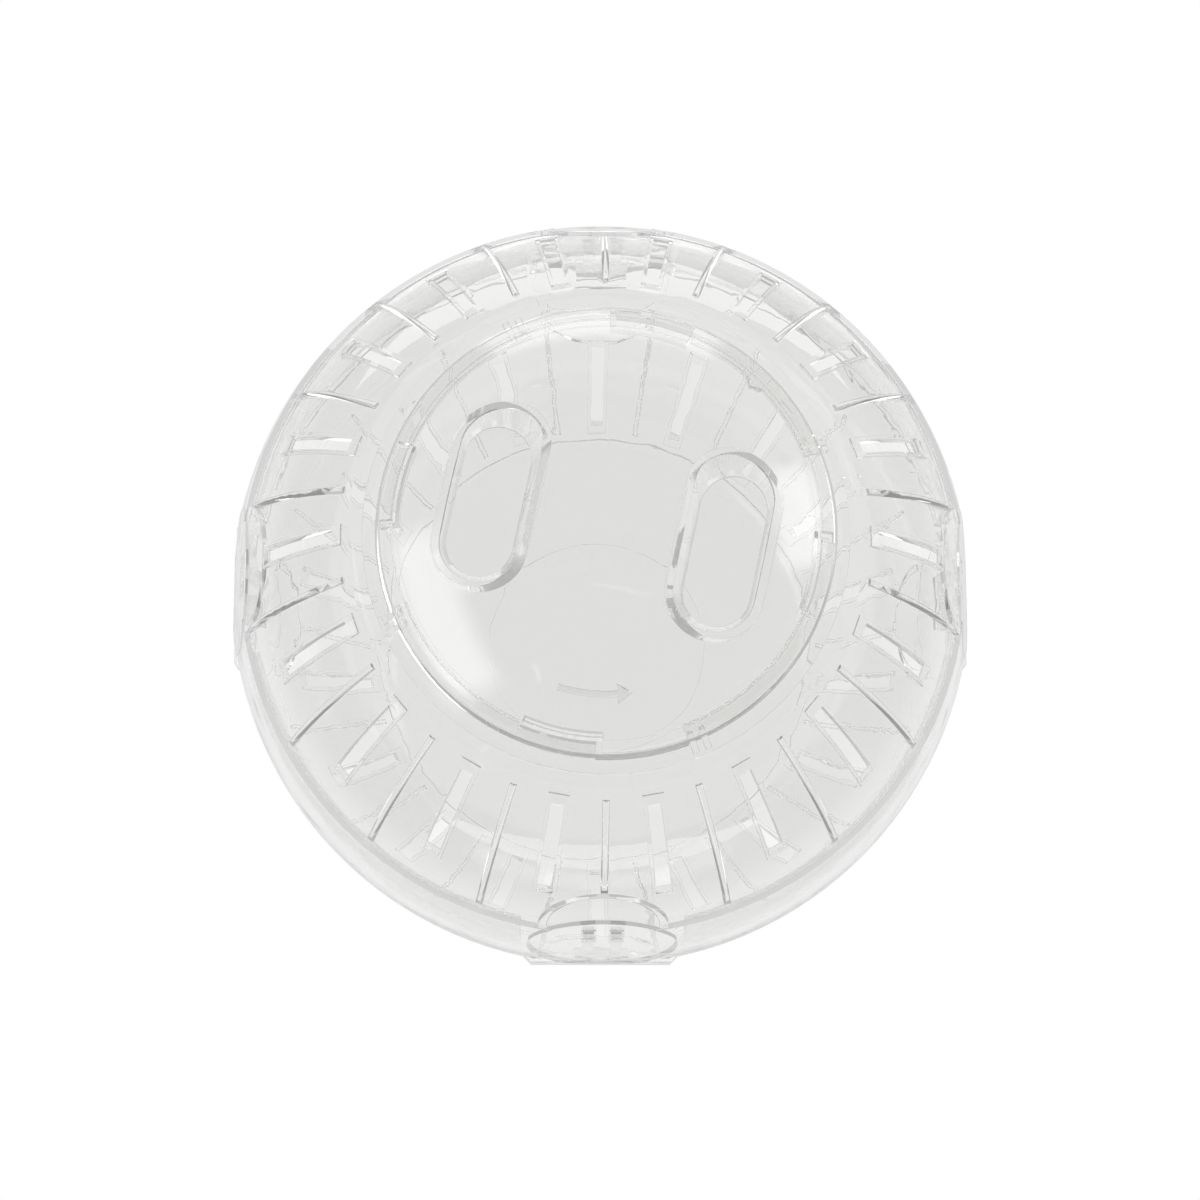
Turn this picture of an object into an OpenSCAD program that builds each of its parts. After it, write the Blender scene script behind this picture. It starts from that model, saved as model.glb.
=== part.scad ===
// Hamster exercise ball: two clear moulded shells that snap together at the
// middle, and a round door that locks into the front shell with a short turn.
// The ball stands on its flat with the door up. Millimetres.

/* [Ball] */
// Outside radius of the ball at the parting line, the collar and the door
ball_r = 70; // [62:0.5:80]
// Wall of the shells and of the door
wall = 1.8; // [1.5:0.1:2.2]
// Radius of the flat that the ball stands on
flat_r = 43.8; // [40:0.2:45]
// Radius of the shallow round recess in the flat
recess_r = 22.5; // [12:0.5:32]
// Depth of the recess in the flat
recess_depth = 0.4; // [0.2:0.1:0.8]

/* [Slotted bands] */
// Depth of the slotted band below the collar
band_depth = 0.5; // [0.2:0.1:0.8]
// Radius of the step where the collar ends and the slotted band starts
collar_r = 45.2; // [44.6:0.1:45.8]
// Height of the foot of the belt's edge above the parting line
belt_h = 23.4; // [20:0.2:25]
// Height of the bevel at the belt's edge
belt_rise = 1.4; // [1:0.1:2.4]
// Number of slots round each shell, with a rib between each two
slot_count = 18; // [12:1:20]
// Distance from the ball's axis to the inner end of a slot
slot_in_r = 48; // [47.6:0.1:50]
// Distance from the ball's axis to the outer end of a slot
slot_out_r = 60.4; // [56:0.1:61]
// Width of a slot at its end near the collar
slot_in_w = 2.3; // [1.6:0.1:3]
// Width of a slot at its end near the belt
slot_out_w = 2.9; // [2:0.1:3.6]
// Width of the raised frame round a slot
frame_w = 0.7; // [0.5:0.1:1]
// Height of the frame above the band
frame_h = 0.6; // [0.4:0.1:1.2]
// Thickness of a round rib
rib_w = 1; // [0.7:0.1:1.4]
// Height of a rib above the band
rib_h = 0.35; // [0.2:0.05:0.6]

/* [Latches] */
// Number of latches round the parting line
latch_count = 4; // [2:1:6]
// Radius of a latch's round flat
latch_r = 13.8; // [11:0.2:15]
// Height of the middle of that flat
latch_rise = 12.2; // [10:0.2:13]
// Lean of the latch's flat from upright
latch_lean = 10.5; // [9:0.5:12]
// Radius of the arch that the belt makes over a latch
arch_r = 11.8; // [10.6:0.2:12.6]
// Height of the middle of the arch
arch_rise = 21.9; // [20:0.1:23]
// Width of the pad under a latch
pad_w = 26.2; // [22:0.2:27]
// Height of that pad
pad_h = 7; // [4:0.2:9]
// Spacing of the two hooks of a latch
hook_pitch = 5.1; // [4.4:0.1:7]
// Width of a hook
hook_w = 2; // [1.4:0.1:2.4]
// Thickness of a hook's arm
hook_t = 1.3; // [1:0.1:1.6]
// Height of the window's sill, which the hook catches
sill_h = 14; // [12:0.2:16]
// Height of the window
window_h = 7; // [5:0.2:8]

/* [Door] */
// Radius of the door
door_r = 39.3; // [38:0.1:40]
// Angle at which the locked door stands
door_angle = -12; // [-20:1:0]
// Turn from locked to open
door_turn = 21; // [18:1:23]
// Number of lugs
lug_count = 4; // [3:1:4]
// Angle that a lug spans
lug_angle = 22; // [16:1:24]
// Distance from the door's edge to the inside of a lug
lug_inset = 3.7; // [3.4:0.1:4.2]
// Thickness of a lug's wall and foot
lug_t = 1.4; // [1:0.1:1.5]
// Thickness of the lip under the door's edge
lip_t = 1.5; // [1:0.1:2]
// Width of the raised edge of the door
rim_w = 1.9; // [1.2:0.1:2.1]
// Height of the raised edge of the door
rim_h = 0.3; // [0.2:0.1:0.5]

/* [Finger pockets] */
// Distance of a pocket from the ball's axis
pocket_x = 20.9; // [19:0.1:22]
// Width of a pocket's mouth
mouth_w = 14.6; // [13:0.1:16]
// Length of a pocket's mouth
mouth_l = 32.8; // [26:0.1:34]
// Width of a pocket's floor
floor_w = 11.5; // [10:0.1:12.5]
// Length of a pocket's floor
floor_l = 26.8; // [22:0.1:28]
// Depth of a pocket at its middle
pocket_depth = 8; // [6:0.2:10]
// Wall of a pocket
pocket_wall = 1.5; // [1.2:0.1:1.8]

/* [Fits] */
// Gap between the door and what it turns in
door_gap = 0.3; // [0.2:0.05:0.5]
// Gap between a hook and the front shell
hook_gap = 0.3; // [0.2:0.05:0.5]
// Gap between the rear shell's skirt and the front shell
skirt_gap = 0.3; // [0.2:0.05:0.5]
// Height of the skirt above the parting line
skirt_h = 19.2; // [6:0.2:20]
// Thickness of the skirt
skirt_t = 1.2; // [0.8:0.1:1.5]

/* [Hidden] */
$fn = 128;
clear_plastic = [0.93, 0.95, 0.95, 0.45];

// How far a cutting shape runs past what it cuts
overrun = 6;
full_turn = 360;

// Radii of the ball's surfaces, from its centre
inner_r = ball_r - wall;
band_r = ball_r - band_depth;
centre_z = sqrt(pow(ball_r, 2) - pow(flat_r, 2));

// The belt bows less than the ball does, so that its bevelled edge stands above the band
belt_foot_r = sqrt(pow(band_r, 2) - pow(belt_h, 2));
belt_sum = belt_foot_r + belt_h;
belt_top_h = belt_h - belt_rise;
belt_drop = ball_r - (belt_sum - belt_top_h);
belt_bow_r = (pow(belt_drop, 2) + pow(belt_top_h, 2)) / (2 * belt_drop);
belt_edge_r = sqrt(pow(belt_sum - belt_top_h, 2) + pow(belt_top_h, 2));

// The arches stand slightly lower than the belt's edge
arch_step = 0.15;

// Where the frames and ribs start beside the collar
frame_start_gap = 1.1;
rib_start_gap = 1.4;
slot_pitch = full_turn / slot_count;
seam_share = 0.75;
seam_angle = slot_pitch * seam_share;

// The skirt's root below the parting line, and its distance from the latches
skirt_root = 2.5;
latch_clear = 0.8;
pad_step = 0.3;
pad_slant = 3;
window_w = hook_w + 2 * hook_gap;
root_h = 7;
root_side = 1.6;
root_back = 0.4;
hook_back = wall + hook_gap;
barb_sunk_share = 0.25;
barb_out = hook_back - barb_sunk_share * wall;
barb_h = 3.4;
barb_land = 0.8;
hook_top = sill_h + hook_gap + barb_h;

// The door, its lugs and the lip that holds them
opening_r = door_r + door_gap;
lug_in_r = door_r - lug_inset;
lug_out_r = lug_in_r + lug_t;
foot_out_r = door_r - door_gap;
lip_top = inner_r - door_gap;
lip_low = lip_top - lip_t;
foot_top = lip_low - door_gap;
foot_low = foot_top - lug_t;
lip_bite = 0.5;
lip_wide_r = lug_out_r - lip_bite;
lip_catch_r = lug_out_r + door_gap;
lip_entry_r = foot_out_r + door_gap;
lip_root = 2.4;
stop_slack = 0.7;
catch_start = -lug_angle / 2 - stop_slack;
entry_start = -lug_angle / 2 + door_turn - stop_slack;
entry_end = lug_angle / 2 + door_turn + stop_slack;
stop_rib_angle = 1.5;
stop_rib_pitch = 3.2;
stop_rib_back = 0.5;

// The pointed piece of the lip, with the small square boss under it
detent_angle = 45.6;
detent_side = 6.4;
detent_boss = 3;
detent_boss_h = 0.8;
detent_reach = 1.3;

// A pocket's mouth and floor, as heights above the ball's centre
mouth_h = sqrt(pow(ball_r, 2) - pow(pocket_x, 2));
floor_h = mouth_h - pocket_depth;
pocket_top = ball_r + pocket_wall;
pocket_fn = 64;

// Upper half space, down to the parting line
module above(level = 0) {
    translate([-2 * ball_r, -2 * ball_r, level]) cube(4 * ball_r);
}

// Sphere round the ball's centre, with its seam clear of the slots and latches
module ball(r) {
    rotate(seam_angle) sphere(r);
}

// Full revolve of an outline, with its seam in the same place
module revolve() {
    rotate(seam_angle) rotate_extrude() children();
}

// Puts its children at each of count places round the axis
module around(count, start = 0) {
    for (i = [0 : count - 1]) rotate(start + i * full_turn / count) children();
}

// Puts its children in the plane of a latch's flat: X outward, Z up the flat
module on_latch() {
    translate([ball_r, 0, 0]) rotate([0, -latch_lean, 0]) children();
}

// A latch's round flat, as a disc between two depths
module latch_disc(from_x, to_x) {
    translate([from_x, 0, latch_rise]) rotate([0, 90, 0])
        cylinder(r = latch_r, h = to_x - from_x);
}

// The sector of a revolved outline from one angle, over another
module sector(from_angle, over_angle) {
    rotate(from_angle) rotate_extrude(angle = over_angle) children();
}

// Section between two spheres round the ball's centre and between two radii
module layer_section(outer, inner, from_r, to_r) {
    intersection() {
        difference() {
            circle(outer);
            circle(inner);
        }
        translate([from_r, 0]) square([to_r - from_r, ball_r]);
    }
}

// Section of a ball with its belt, whose surface lies deeper by depth
module belted_section(r, depth) {
    sum = belt_sum - depth * sqrt(2);
    circle(r);
    intersection() {
        translate([ball_r - belt_bow_r, 0]) circle(belt_bow_r - depth);
        polygon([[0, -overrun], [sum + overrun, -overrun], [0, sum]]);
        translate([0, -overrun]) square([2 * ball_r, sum / 2 + overrun]);
    }
}

// The raised arches over the latches, smaller by depth
module arches(depth) {
    intersection() {
        ball(belt_edge_r - arch_step - depth);
        around(latch_count) translate([ball_r / 2, 0, arch_rise]) rotate([0, 90, 0])
            cylinder(r = arch_r - depth, h = ball_r);
        above(belt_top_h - depth / 2);
    }
}

// Outer form of a shell: a slotted band with a raised belt, arches and collar
module outer_form() {
    revolve() intersection() {
        union() {
            belted_section(band_r, 0);
            intersection() {
                circle(ball_r);
                square([collar_r, ball_r]);
            }
        }
        square(2 * ball_r);
    }
    arches(0);
}

// Hollow of a shell, which follows the belt and the arches so that the wall stays even
module hollow(floor_level) {
    revolve() intersection() {
        belted_section(inner_r, wall);
        translate([0, -overrun]) square([2 * ball_r, floor_level + overrun]);
    }
    arches(wall);
}

// Upright bar along a slot, wider by side, longer by start and end. Its walls stand
// along the ball's axis, the way that the mould opens
module slot_bar(side, start, end) {
    half_in = slot_in_w / 2 + side;
    half_out = slot_out_w / 2 + side;
    translate([0, 0, belt_h]) linear_extrude(ball_r) polygon([
        [slot_in_r - start, -half_in], [slot_out_r + end, -half_out],
        [slot_out_r + end, half_out], [slot_in_r - start, half_in]
    ]);
}

// Half-round rib over the band, from beside the collar down into the belt's edge
module rib() {
    low = asin((belt_h - belt_rise / 2) / band_r);
    high = acos((collar_r + rib_start_gap) / band_r);
    middle_r = band_r + rib_h - rib_w / 2;
    rotate([90, 0, 0]) rotate(low) rotate_extrude(angle = high - low)
        translate([middle_r, 0]) circle(d = rib_w);
}

// Raised frames round the slots, and the ribs between them
module frames_and_ribs(start) {
    intersection() {
        ball(band_r + frame_h);
        around(slot_count, start)
            slot_bar(frame_w, slot_in_r - collar_r - frame_start_gap, 2 * frame_w);
    }
    around(slot_count, start + slot_pitch / 2) rib();
}

// Half shell with its slots and its latch flats, open at the parting line
module half_shell(slot_start, floor_level) {
    difference() {
        union() {
            difference() {
                union() {
                    outer_form();
                    frames_and_ribs(slot_start);
                }
                hollow(floor_level);
            }
            intersection() {
                around(latch_count) on_latch() latch_disc(-wall, 0);
                above();
            }
        }
        around(latch_count) on_latch() latch_disc(0, overrun);
        around(slot_count, slot_start) slot_bar(0, 0, 0);
    }
}

// Skirt of the rear shell, which rises inside the front shell's belt between the latches
module skirt() {
    below = 2 * overrun;
    difference() {
        revolve() difference() {
            intersection() {
                union() {
                    belted_section(inner_r - skirt_gap, wall + skirt_gap);
                    translate([0, -below]) square([inner_r + wall / 2, below]);
                }
                translate([0, -skirt_root]) square([ball_r, skirt_h + skirt_root]);
            }
            belted_section(inner_r - skirt_gap - skirt_t, wall + skirt_gap + skirt_t);
        }
        around(latch_count)
            translate([ball_r / 2, -latch_r - latch_clear, -below])
                cube([ball_r, 2 * (latch_r + latch_clear), skirt_h + 2 * below]);
    }
}

// Opening for the door, down to the top of the lip, with a catch and an entry for each lug
module door_opening() {
    difference() {
        cylinder(r = opening_r, h = 2 * ball_r);
        ball(lip_top);
    }
    rotate(door_angle) around(lug_count) {
        sector(catch_start, (entry_start + entry_end) / 2 - catch_start)
            translate([lip_wide_r / 2, ball_r / 2]) square([lip_catch_r - lip_wide_r / 2, ball_r]);
        sector(entry_start, entry_end - entry_start)
            translate([lip_wide_r / 2, ball_r / 2]) square([lip_entry_r - lip_wide_r / 2, ball_r]);
    }
}

// Two short ribs under the lip, where the foot of an opened lug stops
module stop_ribs() {
    rotate(door_angle) around(lug_count)
        for (i = [0, 1]) sector(entry_end + stop_rib_back + i * stop_rib_pitch, stop_rib_angle)
            layer_section(lip_low + lip_t / 2, foot_low, lip_catch_r, opening_r + lip_root / 2);
}

// Pointed part of the lip, with a small square boss below it
module detent() {
    point_r = lip_wide_r - detent_reach;
    intersection() {
        difference() {
            ball(lip_top);
            ball(lip_low);
        }
        rotate(detent_angle) linear_extrude(ball_r) polygon([
            [point_r, 0], [lip_catch_r, -detent_side / 2], [lip_catch_r, detent_side / 2]
        ]);
    }
    intersection() {
        difference() {
            ball(lip_low + lip_t / 2);
            ball(lip_low - detent_boss_h);
        }
        rotate(detent_angle)
            translate([lip_wide_r - detent_boss_h / 2, -detent_boss / 2, 0])
                cube([detent_boss, detent_boss, ball_r]);
    }
}

// Windows that the hooks catch in, two to a latch
module hook_windows() {
    around(latch_count) on_latch() for (side = [-1, 1])
        translate([-overrun, side * hook_pitch / 2 - window_w / 2, sill_h])
            cube([2 * overrun, window_w, window_h]);
}

module front_shell() {
    color(clear_plastic) translate([0, 0, centre_z]) {
        difference() {
            union() {
                half_shell(0, ball_r);
                revolve()
                    layer_section(ball_r - wall / 2, lip_low, lip_wide_r, opening_r + lip_root);
            }
            door_opening();
            hook_windows();
        }
        stop_ribs();
        detent();
    }
}

// Block behind a rear latch that carries the roots of its two hooks
module hook_root() {
    on_latch() translate([-hook_back - hook_t - root_back, 0, -overrun])
        translate([0, -hook_pitch / 2 - hook_w / 2 - root_side, 0])
            cube([hook_t + hook_gap + root_back + wall / 2,
                hook_pitch + hook_w + 2 * root_side, root_h + overrun]);
}

// Upright pads on the rear shell, one under each latch
module latch_pads() {
    difference() {
        around(latch_count) translate([ball_r - pad_step, 0, 0])
            linear_extrude(pad_h) polygon([
                [-overrun, -pad_w / 2 - pad_slant], [-pad_slant, -pad_w / 2 - pad_slant],
                [0, -pad_w / 2], [0, pad_w / 2],
                [-pad_slant, pad_w / 2 + pad_slant], [-overrun, pad_w / 2 + pad_slant]
            ]);
        ball(ball_r - wall / 2);
    }
}

module rear_shell() {
    color(clear_plastic) translate([0, 0, centre_z]) {
        mirror([0, 0, 1]) {
            difference() {
                half_shell(slot_pitch / 2, centre_z - wall);
                above(centre_z);
                translate([0, 0, centre_z - recess_depth]) cylinder(r = recess_r, h = overrun);
            }
            latch_pads();
            intersection() {
                around(latch_count) hook_root();
                above();
            }
        }
        skirt();
    }
}

// One hook: an arm with a barb that rests in the front shell's window
module hook() {
    rotate([90, 0, 0]) linear_extrude(hook_w, center = true) polygon([
        [-hook_back - hook_t, -overrun], [-hook_back, -overrun],
        [-hook_back, sill_h + hook_gap], [-hook_back + barb_out, sill_h + hook_gap],
        [-hook_back + barb_out, sill_h + hook_gap + barb_land], [-hook_back, hook_top],
        [-hook_back - hook_t, hook_top]
    ]);
}

module snap_hooks() {
    color(clear_plastic) translate([0, 0, centre_z]) intersection() {
        around(latch_count) on_latch() for (side = [-1, 1])
            translate([0, side * hook_pitch / 2, 0]) hook();
        above();
    }
}

// Solid form of a pocket, larger than its hollow by grow
module pocket_form(grow) {
    rise = pocket_top - floor_h;
    width = floor_w + 2 * grow;
    length = floor_l + 2 * grow;
    wider = (mouth_w - floor_w) / pocket_depth * rise;
    longer = (mouth_l - floor_l) / pocket_depth * rise;
    translate([0, 0, floor_h - grow])
        linear_extrude(rise, slices = 1, $fn = pocket_fn,
            scale = [(width + wider) / width, (length + longer) / length])
            hull() for (side = [-1, 1])
                translate([0, side * (length - width) / 2]) circle(d = width, $fn = pocket_fn);
}

// A lug: a wall below the door with a foot that turns outward under the lip
module lug() {
    sector(-lug_angle / 2, lug_angle) {
        layer_section(inner_r + wall / 2, foot_low, lug_in_r, lug_out_r);
        layer_section(foot_top, foot_low, lug_in_r, foot_out_r);
    }
}

module door() {
    color(clear_plastic) translate([0, 0, centre_z]) rotate(door_angle) {
        difference() {
            union() {
                revolve() union() {
                    layer_section(ball_r - rim_h, inner_r, 0, door_r);
                    layer_section(ball_r, inner_r, door_r - rim_w, door_r);
                }
                intersection() {
                    ball(ball_r - rim_h);
                    for (side = [-1, 1])
                        translate([side * pocket_x, 0, 0]) pocket_form(pocket_wall);
                }
            }
            for (side = [-1, 1]) translate([side * pocket_x, 0, 0]) pocket_form(0);
            around(lug_count) sector(-lug_angle / 2, lug_angle)
                translate([lug_out_r, 0]) square([lug_inset, 2 * ball_r]);
        }
        around(lug_count) lug();
    }
}

rear_shell();
front_shell();
door();
snap_hooks();
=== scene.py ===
# %% [markdown]
# A hamster ball is clear plastic all through, so nearly all that the eye sees of it is
# edges, double walls and reflections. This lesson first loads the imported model, which
# holds every size, and then sets the camera, the light and the plastic round it.

# %% Load the frame
import math

import bmesh
import bpy
import numpy as np
from mathutils import Matrix, Vector


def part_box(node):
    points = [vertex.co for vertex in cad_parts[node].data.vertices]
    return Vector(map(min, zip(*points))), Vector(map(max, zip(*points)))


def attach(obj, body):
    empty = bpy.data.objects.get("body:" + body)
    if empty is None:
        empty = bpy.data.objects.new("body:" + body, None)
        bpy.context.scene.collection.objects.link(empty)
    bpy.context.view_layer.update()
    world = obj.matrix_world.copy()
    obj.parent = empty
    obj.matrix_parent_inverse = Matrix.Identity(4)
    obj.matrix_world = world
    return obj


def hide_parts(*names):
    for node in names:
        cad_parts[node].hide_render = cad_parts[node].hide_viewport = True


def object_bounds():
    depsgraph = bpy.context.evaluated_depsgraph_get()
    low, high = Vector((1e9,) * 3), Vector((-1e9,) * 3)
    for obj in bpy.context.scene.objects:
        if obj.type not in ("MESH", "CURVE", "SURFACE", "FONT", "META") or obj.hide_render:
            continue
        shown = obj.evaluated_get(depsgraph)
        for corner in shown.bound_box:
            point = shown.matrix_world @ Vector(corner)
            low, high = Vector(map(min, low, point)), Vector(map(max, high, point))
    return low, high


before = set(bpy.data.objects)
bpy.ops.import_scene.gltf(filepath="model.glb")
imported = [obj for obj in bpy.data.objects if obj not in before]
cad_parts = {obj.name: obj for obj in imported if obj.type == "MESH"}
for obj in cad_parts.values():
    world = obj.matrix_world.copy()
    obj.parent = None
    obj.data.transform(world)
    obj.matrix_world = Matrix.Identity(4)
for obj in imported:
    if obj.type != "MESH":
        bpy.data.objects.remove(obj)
MM = 0.001
cad_low, cad_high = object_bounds()
BALL_R = (cad_high.x - cad_low.x) / 2
CENTRE = Vector((0, 0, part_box("front_shell")[0].z))
print(f"ball radius {BALL_R / MM:.1f} mm, centre {CENTRE.z / MM:.1f} mm above the flat")

# %% [markdown]
# The photograph looks down on the door from almost straight above, as a product is
# shot on a table. A long lens far away keeps the ball's outline close to a true circle.
# The two small shifts move the ball to the place that it has in the photograph.

# %% Camera
CAMERA_DISTANCE = 8.6 * BALL_R
CAMERA_BACK = Vector((-0.0164, -0.2028, 0.979)).normalized()
LENS_MM, SENSOR_MM = 94.5, 36
AIM_RIGHT, AIM_UP = -0.19 * MM, -0.76 * MM
NEAREST, FARTHEST = 0.01, 20


def add_camera():
    data = bpy.data.cameras.new("camera")
    data.lens, data.sensor_width = LENS_MM, SENSOR_MM
    data.clip_start, data.clip_end = NEAREST, FARTHEST
    camera = bpy.data.objects.new("camera", data)
    bpy.context.collection.objects.link(camera)
    right = Vector((0, 1, 0)).cross(CAMERA_BACK).normalized()
    up = CAMERA_BACK.cross(right)
    camera.rotation_euler = Matrix((right, up, CAMERA_BACK)).transposed().to_euler()
    camera.location = CENTRE + CAMERA_BACK * CAMERA_DISTANCE + right * AIM_RIGHT + up * AIM_UP
    bpy.context.scene.camera = camera


add_camera()
print(f"camera {CAMERA_DISTANCE:.3f} m from the ball's centre")

# %% [markdown]
# Clear plastic has hardly a colour of its own: it shows what is behind it and mirrors
# what is round it. So the studio matters more than the material, and it is built first.
# All materials here are made of nodes. One small function turns a colour as it is written
# on a screen into the linear light that Blender counts in, and one adds a node.

# %% Colours and nodes


def srgb(code):
    """The linear colour of a screen colour such as #F9F9F8."""
    parts = [int(code[i : i + 2], 16) / 255 for i in (1, 3, 5)]
    return (*[c / 12.92 if c <= 0.04045 else ((c + 0.055) / 1.055) ** 2.4 for c in parts], 1.0)


def add_node(tree, kind, *inputs, **named):
    """Adds a node. Inputs come in their order or by name: sockets are linked, values set."""
    node = tree.nodes.new("ShaderNode" + kind)
    filled = dict(enumerate(inputs))
    for name, value in named.items():
        if hasattr(node, name):
            setattr(node, name, value)
        else:
            filled[name.replace("_", " ")] = value
    for key, value in filled.items():
        if isinstance(value, bpy.types.Node):
            value = value.outputs[0]
        if isinstance(value, bpy.types.NodeSocket):
            tree.links.new(value, node.inputs[key])
        else:
            node.inputs[key].default_value = value
    return node


print("white as linear light:", srgb("#FFFFFF")[:3])

# %% [markdown]
# The room is what the plastic mirrors: light walls, a darker ceiling and three windows with
# soft edges. The real ball shows two bright patches beside its pockets and a band along its
# lower side, and each window is placed where such a patch is mirrored from. They are drawn
# on the world, which is endlessly far away, because a soft edge takes only a few nodes
# there. The camera itself sees plain white past the table.

# %% Room
WALL_WHITE, CEILING_GREY = 0.66, 0.45
WALL_TOP, CEILING_START = 0.25, 0.75
# Each window's direction, half width, half height, soft edge and strength
WINDOWS = (
    ((0.854, 0.257, 0.452), 0.22, 0.14, 0.06, 1.6),
    ((-0.78, -0.22, 0.58), 0.40, 0.16, 0.08, 1.6),
    ((0, 0.985, 0.174), 0.42, 0.08, 0.05, 1.3),
)
SOFTLY = {"interpolation_type": "SMOOTHSTEP"}


def add_window(tree, direction, half_width, half_height, soft, strength):
    """A bright window with soft edges, far away in one direction of the room."""
    middle = Vector(direction).normalized()
    across = Vector((0, 0, 1)).cross(middle).normalized()
    look = add_node(tree, "TexCoord").outputs["Generated"]
    ahead = add_node(tree, "VectorMath", look, middle, operation="DOT_PRODUCT").outputs["Value"]
    light = add_node(tree, "Math", ahead, 0.0, operation="GREATER_THAN")
    for axis, half in ((across, half_width), (middle.cross(across), half_height)):
        side = add_node(tree, "VectorMath", look, axis, operation="DOT_PRODUCT").outputs["Value"]
        away = add_node(tree, "Math", side, operation="ABSOLUTE")
        mask = add_node(tree, "MapRange", away, half - soft, half + soft, 1.0, 0.0, **SOFTLY)
        light = add_node(tree, "Math", light, mask, operation="MULTIPLY")
    return add_node(tree, "Math", light, strength, operation="MULTIPLY")


def make_room():
    world = bpy.data.worlds.new("studio")
    world.use_nodes = True
    tree = world.node_tree
    tree.nodes.clear()
    look = add_node(tree, "TexCoord").outputs["Generated"]
    height = add_node(tree, "SeparateXYZ", look).outputs["Z"]
    greys = (WALL_TOP, CEILING_START, WALL_WHITE, CEILING_GREY)
    light = add_node(tree, "MapRange", height, *greys, **SOFTLY)
    for window in WINDOWS:
        light = add_node(tree, "Math", light, add_window(tree, *window), operation="ADD")
    room = add_node(tree, "Background", light)
    white = add_node(tree, "Background", (1, 1, 1, 1))
    seen_directly = add_node(tree, "LightPath").outputs["Is Camera Ray"]
    add_node(tree, "OutputWorld", add_node(tree, "MixShader", seen_directly, room, white))
    bpy.context.scene.world = world


bpy.context.scene.view_settings.view_transform = "Standard"
make_room()
print(f"room: walls {WALL_WHITE}, ceiling {CEILING_GREY}, {len(WINDOWS)} windows")

# %% [markdown]
# The table is a wide sheet of white paper. A photographer lights it until it is pure white,
# and here it glows by itself, so that no extra light falls on the ball. Seen through the
# plastic it is a little less than white, and its far parts are darker: that is what draws
# the grey lines at the plastic's edges. A soft patch under the ball stands for its shade.
# From below the sheet is clear, so that the ball's underside can be looked at.

# %% Table
PAPER = "#E8E8E6"
# The sheet's glow is painted light: weaker through the plastic and in mirrors, and fading far from
# the ball as painted shade.
PAPER_THROUGH, PAPER_MIRRORED = 0.97, 0.80
SHADE, SHADE_BACK = 0.08, 12 * MM
SHADE_IN, SHADE_OUT = 60 * MM, 75 * MM
TABLE_FAR, TABLE_IN, TABLE_OUT = 0.42, 0.11, 0.26
TABLE_SIZE, TABLE_GAP = 6, 0.2 * MM


def paper_light(tree):
    """How strongly the sheet glows for each kind of ray, before and after the shade."""
    rays = add_node(tree, "LightPath").outputs
    spot = add_node(tree, "NewGeometry").outputs["Position"]
    foot = (0, SHADE_BACK, 0)
    away = add_node(tree, "VectorMath", spot, foot, operation="DISTANCE").outputs["Value"]
    through = rays["Is Transmission Ray"], PAPER_THROUGH
    mirrored = rays["Is Glossy Ray"], PAPER_MIRRORED
    both = [add_node(tree, "Math", *row, operation="MULTIPLY") for row in (through, mirrored)]
    light = add_node(tree, "Math", *both, operation="MAXIMUM")
    far = add_node(tree, "MapRange", away, TABLE_IN, TABLE_OUT, 1.0, TABLE_FAR, **SOFTLY)
    light = add_node(tree, "Math", light, far, operation="MULTIPLY")
    light = add_node(tree, "Math", rays["Is Camera Ray"], light, operation="MAXIMUM")
    shade = add_node(tree, "MapRange", away, SHADE_IN, SHADE_OUT, 1 - SHADE, 1.0, **SOFTLY)
    return light, add_node(tree, "Math", light, shade, operation="MULTIPLY")


def make_table():
    bpy.ops.mesh.primitive_plane_add(size=TABLE_SIZE, location=(0, 0, -TABLE_GAP))
    table = bpy.context.object
    table.name = "table"
    material = bpy.data.materials.new("white_paper")
    material.use_nodes = True
    tree = material.node_tree
    tree.nodes.clear()
    light, shaded = paper_light(tree)
    glows = add_node(tree, "Math", light, 0.0, operation="GREATER_THAN")
    paper = add_node(tree, "BsdfDiffuse", srgb(PAPER))
    glow = add_node(tree, "Emission", (1, 1, 1, 1), shaded)
    sheet = add_node(tree, "MixShader", glows, paper, glow)
    below = add_node(tree, "NewGeometry").outputs["Backfacing"]
    sheet = add_node(tree, "MixShader", below, sheet, add_node(tree, "BsdfTransparent"))
    add_node(tree, "OutputMaterial", sheet)
    table.data.materials.append(material)


make_table()
print(f"table: {PAPER_THROUGH:.0%} white through the plastic, {TABLE_FAR:.0%} far away")

# %% [markdown]
# The steep sides of the ball mirror the table far behind and before it. Two wide glowing
# panels lie there and keep the outline light, as white cards do in a photographer's tent.
# They are lamps and not glowing sheets, because a lamp can be hidden from the camera and
# from the rays that pass through the plastic.

# %% Panels
PANEL_HEIGHT = 2 * MM
# Each panel's name, near edge, width and length in metres, and watts
PANELS = (
    ("panel_behind", 0.22, (0.5, 1.0), 1.9),
    ("panel_before", -0.42, (0.7, 1.1), 3.4),
)


def add_panel(name, start, size, power):
    """A lamp that lies on the table behind or before the ball and shines up."""
    data = bpy.data.lights.new(name, "AREA")
    data.shape = "RECTANGLE"
    data.size, data.size_y = size
    data.energy = power
    panel = bpy.data.objects.new(name, data)
    bpy.context.collection.objects.link(panel)
    panel.location = (0, start + math.copysign(size[1] / 2, start), PANEL_HEIGHT)
    panel.rotation_euler = (math.pi, 0, 0)
    panel.visible_camera = False
    panel.visible_transmission = False


for row in PANELS:
    add_panel(*row)
    print(f"{row[0]}: starts {abs(row[1])} m from the ball's axis, {row[3]} W")

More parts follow.
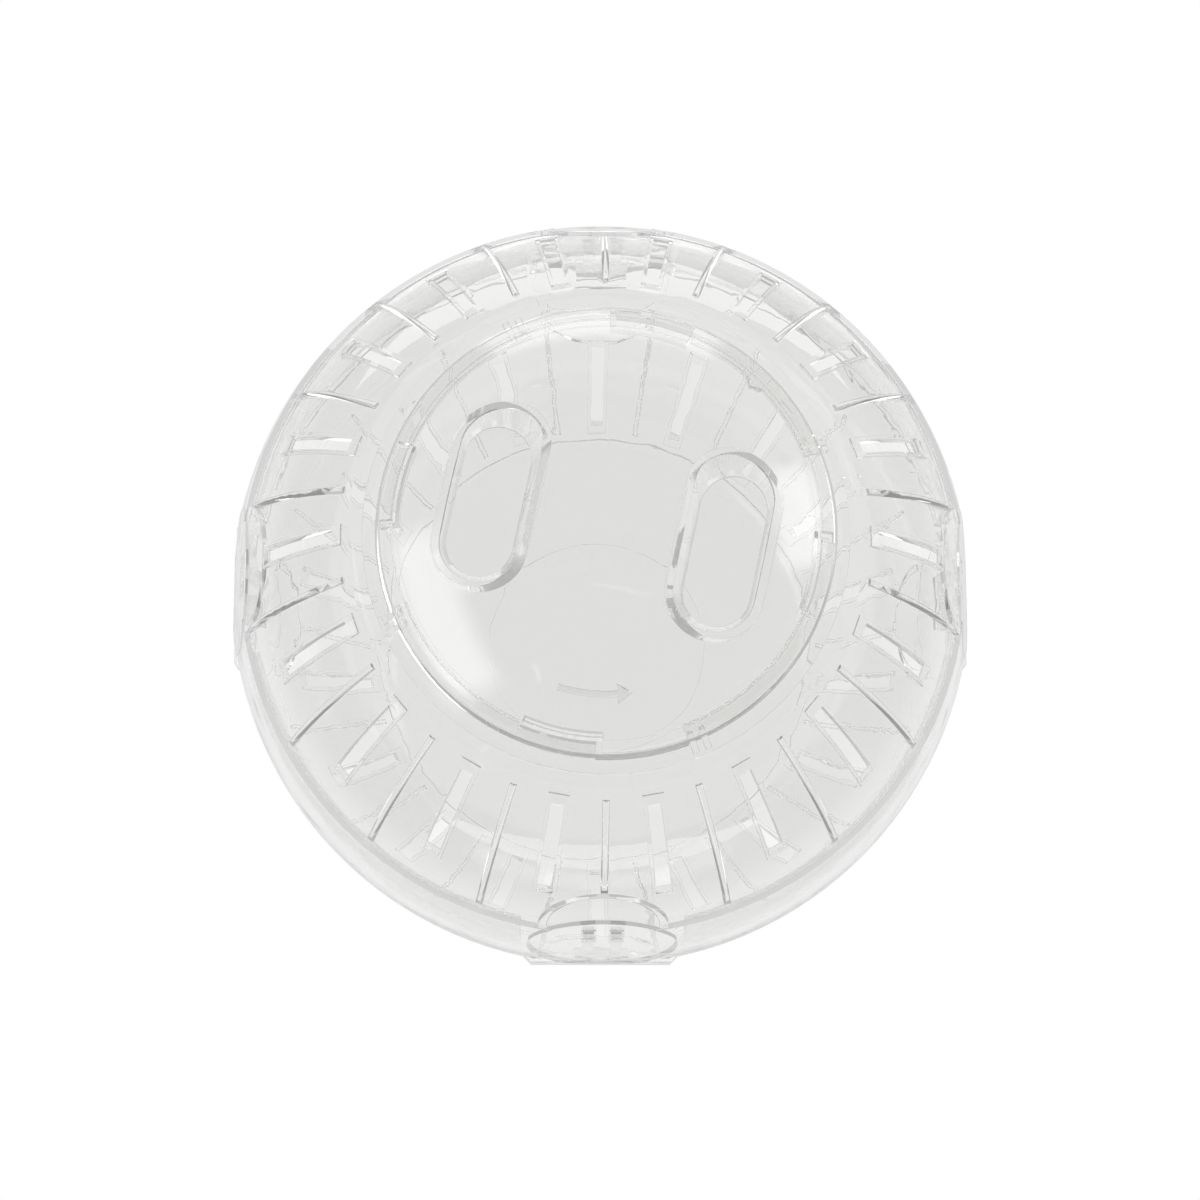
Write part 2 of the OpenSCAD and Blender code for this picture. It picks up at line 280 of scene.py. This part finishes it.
# %% [markdown]
# Balls like this are moulded from clear polystyrene, which is stiff, cheap and glass clear.
# It bends light more than window glass does: its index of refraction is 1.59. The mould is
# polished, so the surface has no roughness and mirrors sharply. What gives a moulding away
# is that its skin is not quite even: it sinks by a few hundredths of a millimetre over 8 mm
# or so, which makes the reflections wave. Every edge is a little round, and the bevel node
# draws that without more faces. A ray that has passed many walls would end in black, because
# the renderer stops counting, so past a certain depth it goes nearly straight through.

# %% Plastic
PLASTIC = {
    "Base Color": srgb("#F9F9F8"),
    "Roughness": 0.0,
    "IOR": 1.59,
    "Transmission Weight": 1.0,
}
EDGE_ROUND, EDGE_SAMPLES = 0.12 * MM, 4
RIPPLE_LENGTH, RIPPLE_DEPTH = 8 * MM, 0.03 * MM
RIPPLE = {"Scale": 1 / RIPPLE_LENGTH, "Detail": 1.0, "Roughness": 0.4, "Distortion": 0.6}
DEEP_RAY, DEEP_SOLID = 5.5, 0.12


def clear_plastic():
    material = bpy.data.materials.new("clear_polystyrene")
    material.use_nodes = True
    tree = material.node_tree
    shader = tree.nodes["Principled BSDF"]
    for name, value in PLASTIC.items():
        shader.inputs[name].default_value = value
    place = add_node(tree, "TexCoord").outputs["Object"]
    ripple = add_node(tree, "TexNoise", Vector=place, **RIPPLE).outputs["Fac"]
    edge = add_node(tree, "Bevel", Radius=EDGE_ROUND, samples=EDGE_SAMPLES)
    wave = add_node(
        tree, "Bump", Strength=1.0, Distance=RIPPLE_DEPTH, Height=ripple, Normal=edge
    )
    tree.links.new(wave.outputs["Normal"], shader.inputs["Normal"])
    depth = add_node(tree, "LightPath").outputs["Ray Depth"]
    deep = add_node(tree, "Math", depth, DEEP_RAY, operation="GREATER_THAN")
    solid = add_node(tree, "Math", deep, DEEP_SOLID - 1, 1.0, operation="MULTIPLY_ADD")
    tree.links.new(solid.outputs[0], shader.inputs["Alpha"])
    return material


plastic = clear_plastic()
for name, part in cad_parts.items():
    part.data.materials.clear()
    part.data.materials.append(plastic)
    print(f"{name}: {len(part.data.polygons)} faces of {plastic.name}")

# %% [markdown]
# The two finger pockets are the grip that turns the door. They come out of the CAD as many
# narrow flat strips. Clear plastic shows each strip as a streak, while the real pockets are
# polished and quite smooth. So the door is shown by a copy of its mesh. On the copy the
# strips share their normals with their neighbours, as round faces do, and all faces that
# were truly round keep their own.

# %% Copies of a node
SAME_POINT = 0.001 * MM


def read_rows(rows, attribute, width):
    """One attribute of all points, corners or faces of a mesh, as a table."""
    values = np.empty(len(rows) * width)
    rows.foreach_get(attribute, values)
    return values.reshape(-1, width)


def stand_in(name, node, body):
    """A copy of a node's mesh under a new name, shown in the node's place."""
    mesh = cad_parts[node].data.copy()
    mesh.name = name
    piece = bpy.data.objects.new(name, mesh)
    bpy.context.collection.objects.link(piece)
    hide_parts(node)
    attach(piece, body)
    return piece


door = stand_in("smooth_door", "door", "door_disc")
print(f"door: a copy of {len(door.data.polygons)} faces")

# %% Door with smooth pockets
STRIP_LIMIT = math.radians(20)
FLAT_LIMIT = math.radians(0.2)


def flat_corners(mesh, corners, faces, points):
    """The corners of all flat faces by place: each one's row, face and opening angle."""
    meeting = {}
    for face in mesh.polygons:
        rows = list(face.loop_indices)
        if (corners[rows] @ faces[face.index]).min() <= math.cos(FLAT_LIMIT):
            continue
        ring = points[list(face.vertices)]
        for at, last, following, row in zip(ring, np.roll(ring, 1, 0), np.roll(ring, -1, 0), rows):
            sides = last - at, following - at
            lengths = np.linalg.norm(sides[0]) * np.linalg.norm(sides[1])
            angle = math.acos(np.clip(sides[0] @ sides[1] / lengths, -1, 1))
            key = tuple(np.round(at / SAME_POINT).astype(int))
            meeting.setdefault(key, []).append((row, face.index, angle))
    return meeting


def smooth_strips(mesh):
    """Lets neighbouring flat strips share one normal at each corner they meet in."""
    corners = read_rows(mesh.corner_normals, "vector", 3)
    faces = read_rows(mesh.polygons, "normal", 3)
    points = read_rows(mesh.vertices, "co", 3)
    meeting = flat_corners(mesh, corners, faces, points)
    least = math.cos(STRIP_LIMIT)
    for group in meeting.values():
        for row, own, _ in group:
            near = [entry for entry in group if faces[own] @ faces[entry[1]] > least]
            total = sum(faces[other] * angle for _, other, angle in near)
            corners[row] = total / np.linalg.norm(total)
    mesh.normals_split_custom_set(corners)
    return sum(len(group) for group in meeting.values())


changed = smooth_strips(door.data)
print(f"door: {changed} of {len(door.data.loops)} corners lie on flat faces and were smoothed")

# %% [markdown]
# The thin ribs between the slots stiffen the shell and give the ball grip. They are fuller
# on the real front shell than a plain round bead: each one shows as a dark, a white and a
# dark line. So the front shell is shown by a copy on which the beads are a little wider and
# higher. A point on a bead moves away from the bead's own middle plane and out from the
# ball. The normals follow by the opposite scale, as on any stretched surface.

# %% Front shell with fuller ribs
RIB_PITCH = math.radians(20)
FIRST_RIB = RIB_PITCH / 2
RIB_WIDEN, RIB_RAISE = 1.35, 1.6
BEAD_HALF, BEAD_TOP = 0.5 * MM, 0.35 * MM
BEAD_SLACK, BAND_SLACK = 1.05, 0.002 * MM
BAND_R = BALL_R - 0.5 * MM
BAND_LOW, BAND_HIGH = 22.0 * MM, 53.5 * MM


def rib_points(at):
    """Which points lie on a rib, with the two ways and distances that they can move."""
    reach = np.linalg.norm(at, axis=1)
    turn = np.arctan2(at[:, 1], at[:, 0])
    middle = FIRST_RIB + np.round((turn - FIRST_RIB) / RIB_PITCH) * RIB_PITCH
    across = np.stack([-np.sin(middle), np.cos(middle), np.zeros(len(at))], axis=1)
    side, height = (at * across).sum(axis=1), reach - BAND_R
    bead = (np.abs(side) < BEAD_HALF * BEAD_SLACK) & (np.abs(at[:, 2]) > BAND_LOW)
    bead &= (height > -BAND_SLACK) & (height < BEAD_TOP * BEAD_SLACK)
    bead &= np.abs(at[:, 2]) < BAND_HIGH
    return bead, ((across, side, RIB_WIDEN), (at / reach[:, None], height, RIB_RAISE))


def widen_ribs(mesh):
    points = read_rows(mesh.vertices, "co", 3)
    corners = read_rows(mesh.corner_normals, "vector", 3)
    bead, ways = rib_points(points - np.array(CENTRE))
    vertex_of = np.array([loop.vertex_index for loop in mesh.loops])
    rim = bead[vertex_of]
    normal = corners[rim]
    for axis, distance, scale in ways:
        points[bead] += axis[bead] * (distance[bead] * (scale - 1))[:, None]
        along = axis[vertex_of][rim]
        normal += along * (normal * along).sum(axis=1)[:, None] * (1 / scale - 1)
    corners[rim] = normal / np.linalg.norm(normal, axis=1)[:, None]
    mesh.vertices.foreach_set("co", points.ravel())
    mesh.update()
    mesh.normals_split_custom_set(corners)
    return int(bead.sum())


front = stand_in("ribbed_front", "front_shell", "front_half")
print(f"front shell: {widen_ribs(front.data)} points of the ribs moved")

# %% [markdown]
# A shallow raised arrow on the door shows which way it turns to open. On the real door it is
# cut into the mould. Here it is a flat outline laid on the dome: each point is given by its
# distance from the axis and its angle round it, and then lifted on to the sphere. The sides
# slope, as a mould's do, and catch the light. A hair of air keeps it a solid of its own.

# %% Arrow
ARROW_R, ARROW_HALF = 30.1 * MM, 0.55 * MM
ARROW_TAIL, ARROW_NECK, ARROW_TIP = -106.3, -86.8, -81.7
HEAD_HALF = 1.7 * MM
DOOR_DROP, ARROW_GAP, ARROW_H = 0.3 * MM, 0.02 * MM, 0.4 * MM
ARROW_DRAFT, ARROW_STEPS = 0.26 * MM, 16


def on_dome(radius, degrees, height):
    """The point at a distance and an angle round the ball's axis, just above the door."""
    ball = BALL_R - DOOR_DROP + height
    turn = math.radians(degrees)
    up = math.sqrt(ball**2 - radius**2)
    return CENTRE + Vector((radius * math.cos(turn), radius * math.sin(turn), up))


def arrow_row(inset, height):
    """The arrow's outer and inner side from tail to tip, drawn in by inset."""
    draw_in = math.degrees(inset / ARROW_R)
    tail, neck, tip = ARROW_TAIL + draw_in, ARROW_NECK + draw_in, ARROW_TIP - 2 * draw_in
    steps = [tail + (neck - tail) * step / ARROW_STEPS for step in range(ARROW_STEPS + 1)]
    widths = [(turn, ARROW_HALF - inset) for turn in steps] + [(neck, HEAD_HALF - 2 * inset)]
    point = on_dome(ARROW_R, tip, height)
    return [
        [on_dome(ARROW_R + side * half, turn, height) for turn, half in widths] + [point]
        for side in (1, -1)
    ]


def make_arrow():
    mesh = bpy.data.meshes.new("turn_arrow")
    build = bmesh.new()
    low, high = (
        [[build.verts.new(point) for point in side] for side in arrow_row(inset, height)]
        for inset, height in ((0, ARROW_GAP), (ARROW_DRAFT, ARROW_GAP + ARROW_H))
    )
    for i in range(len(low[0]) - 1):
        for outer, inner in (low, high):
            build.faces.new([outer[i], outer[i + 1], inner[i + 1], inner[i]])
        for base, top in zip(low, high):
            build.faces.new([base[i], base[i + 1], top[i + 1], top[i]])
    build.faces.new([low[0][0], high[0][0], high[1][0], low[1][0]])
    bmesh.ops.remove_doubles(build, verts=build.verts, dist=SAME_POINT)
    bmesh.ops.recalc_face_normals(build, faces=build.faces)
    build.to_mesh(mesh)
    build.free()
    arrow = bpy.data.objects.new("turn_arrow", mesh)
    bpy.context.collection.objects.link(arrow)
    mesh.materials.append(plastic)
    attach(arrow, "door_disc")
    return arrow


arrow = make_arrow()
print(f"arrow: {len(arrow.data.polygons)} faces, {ARROW_H / MM:.1f} mm high")
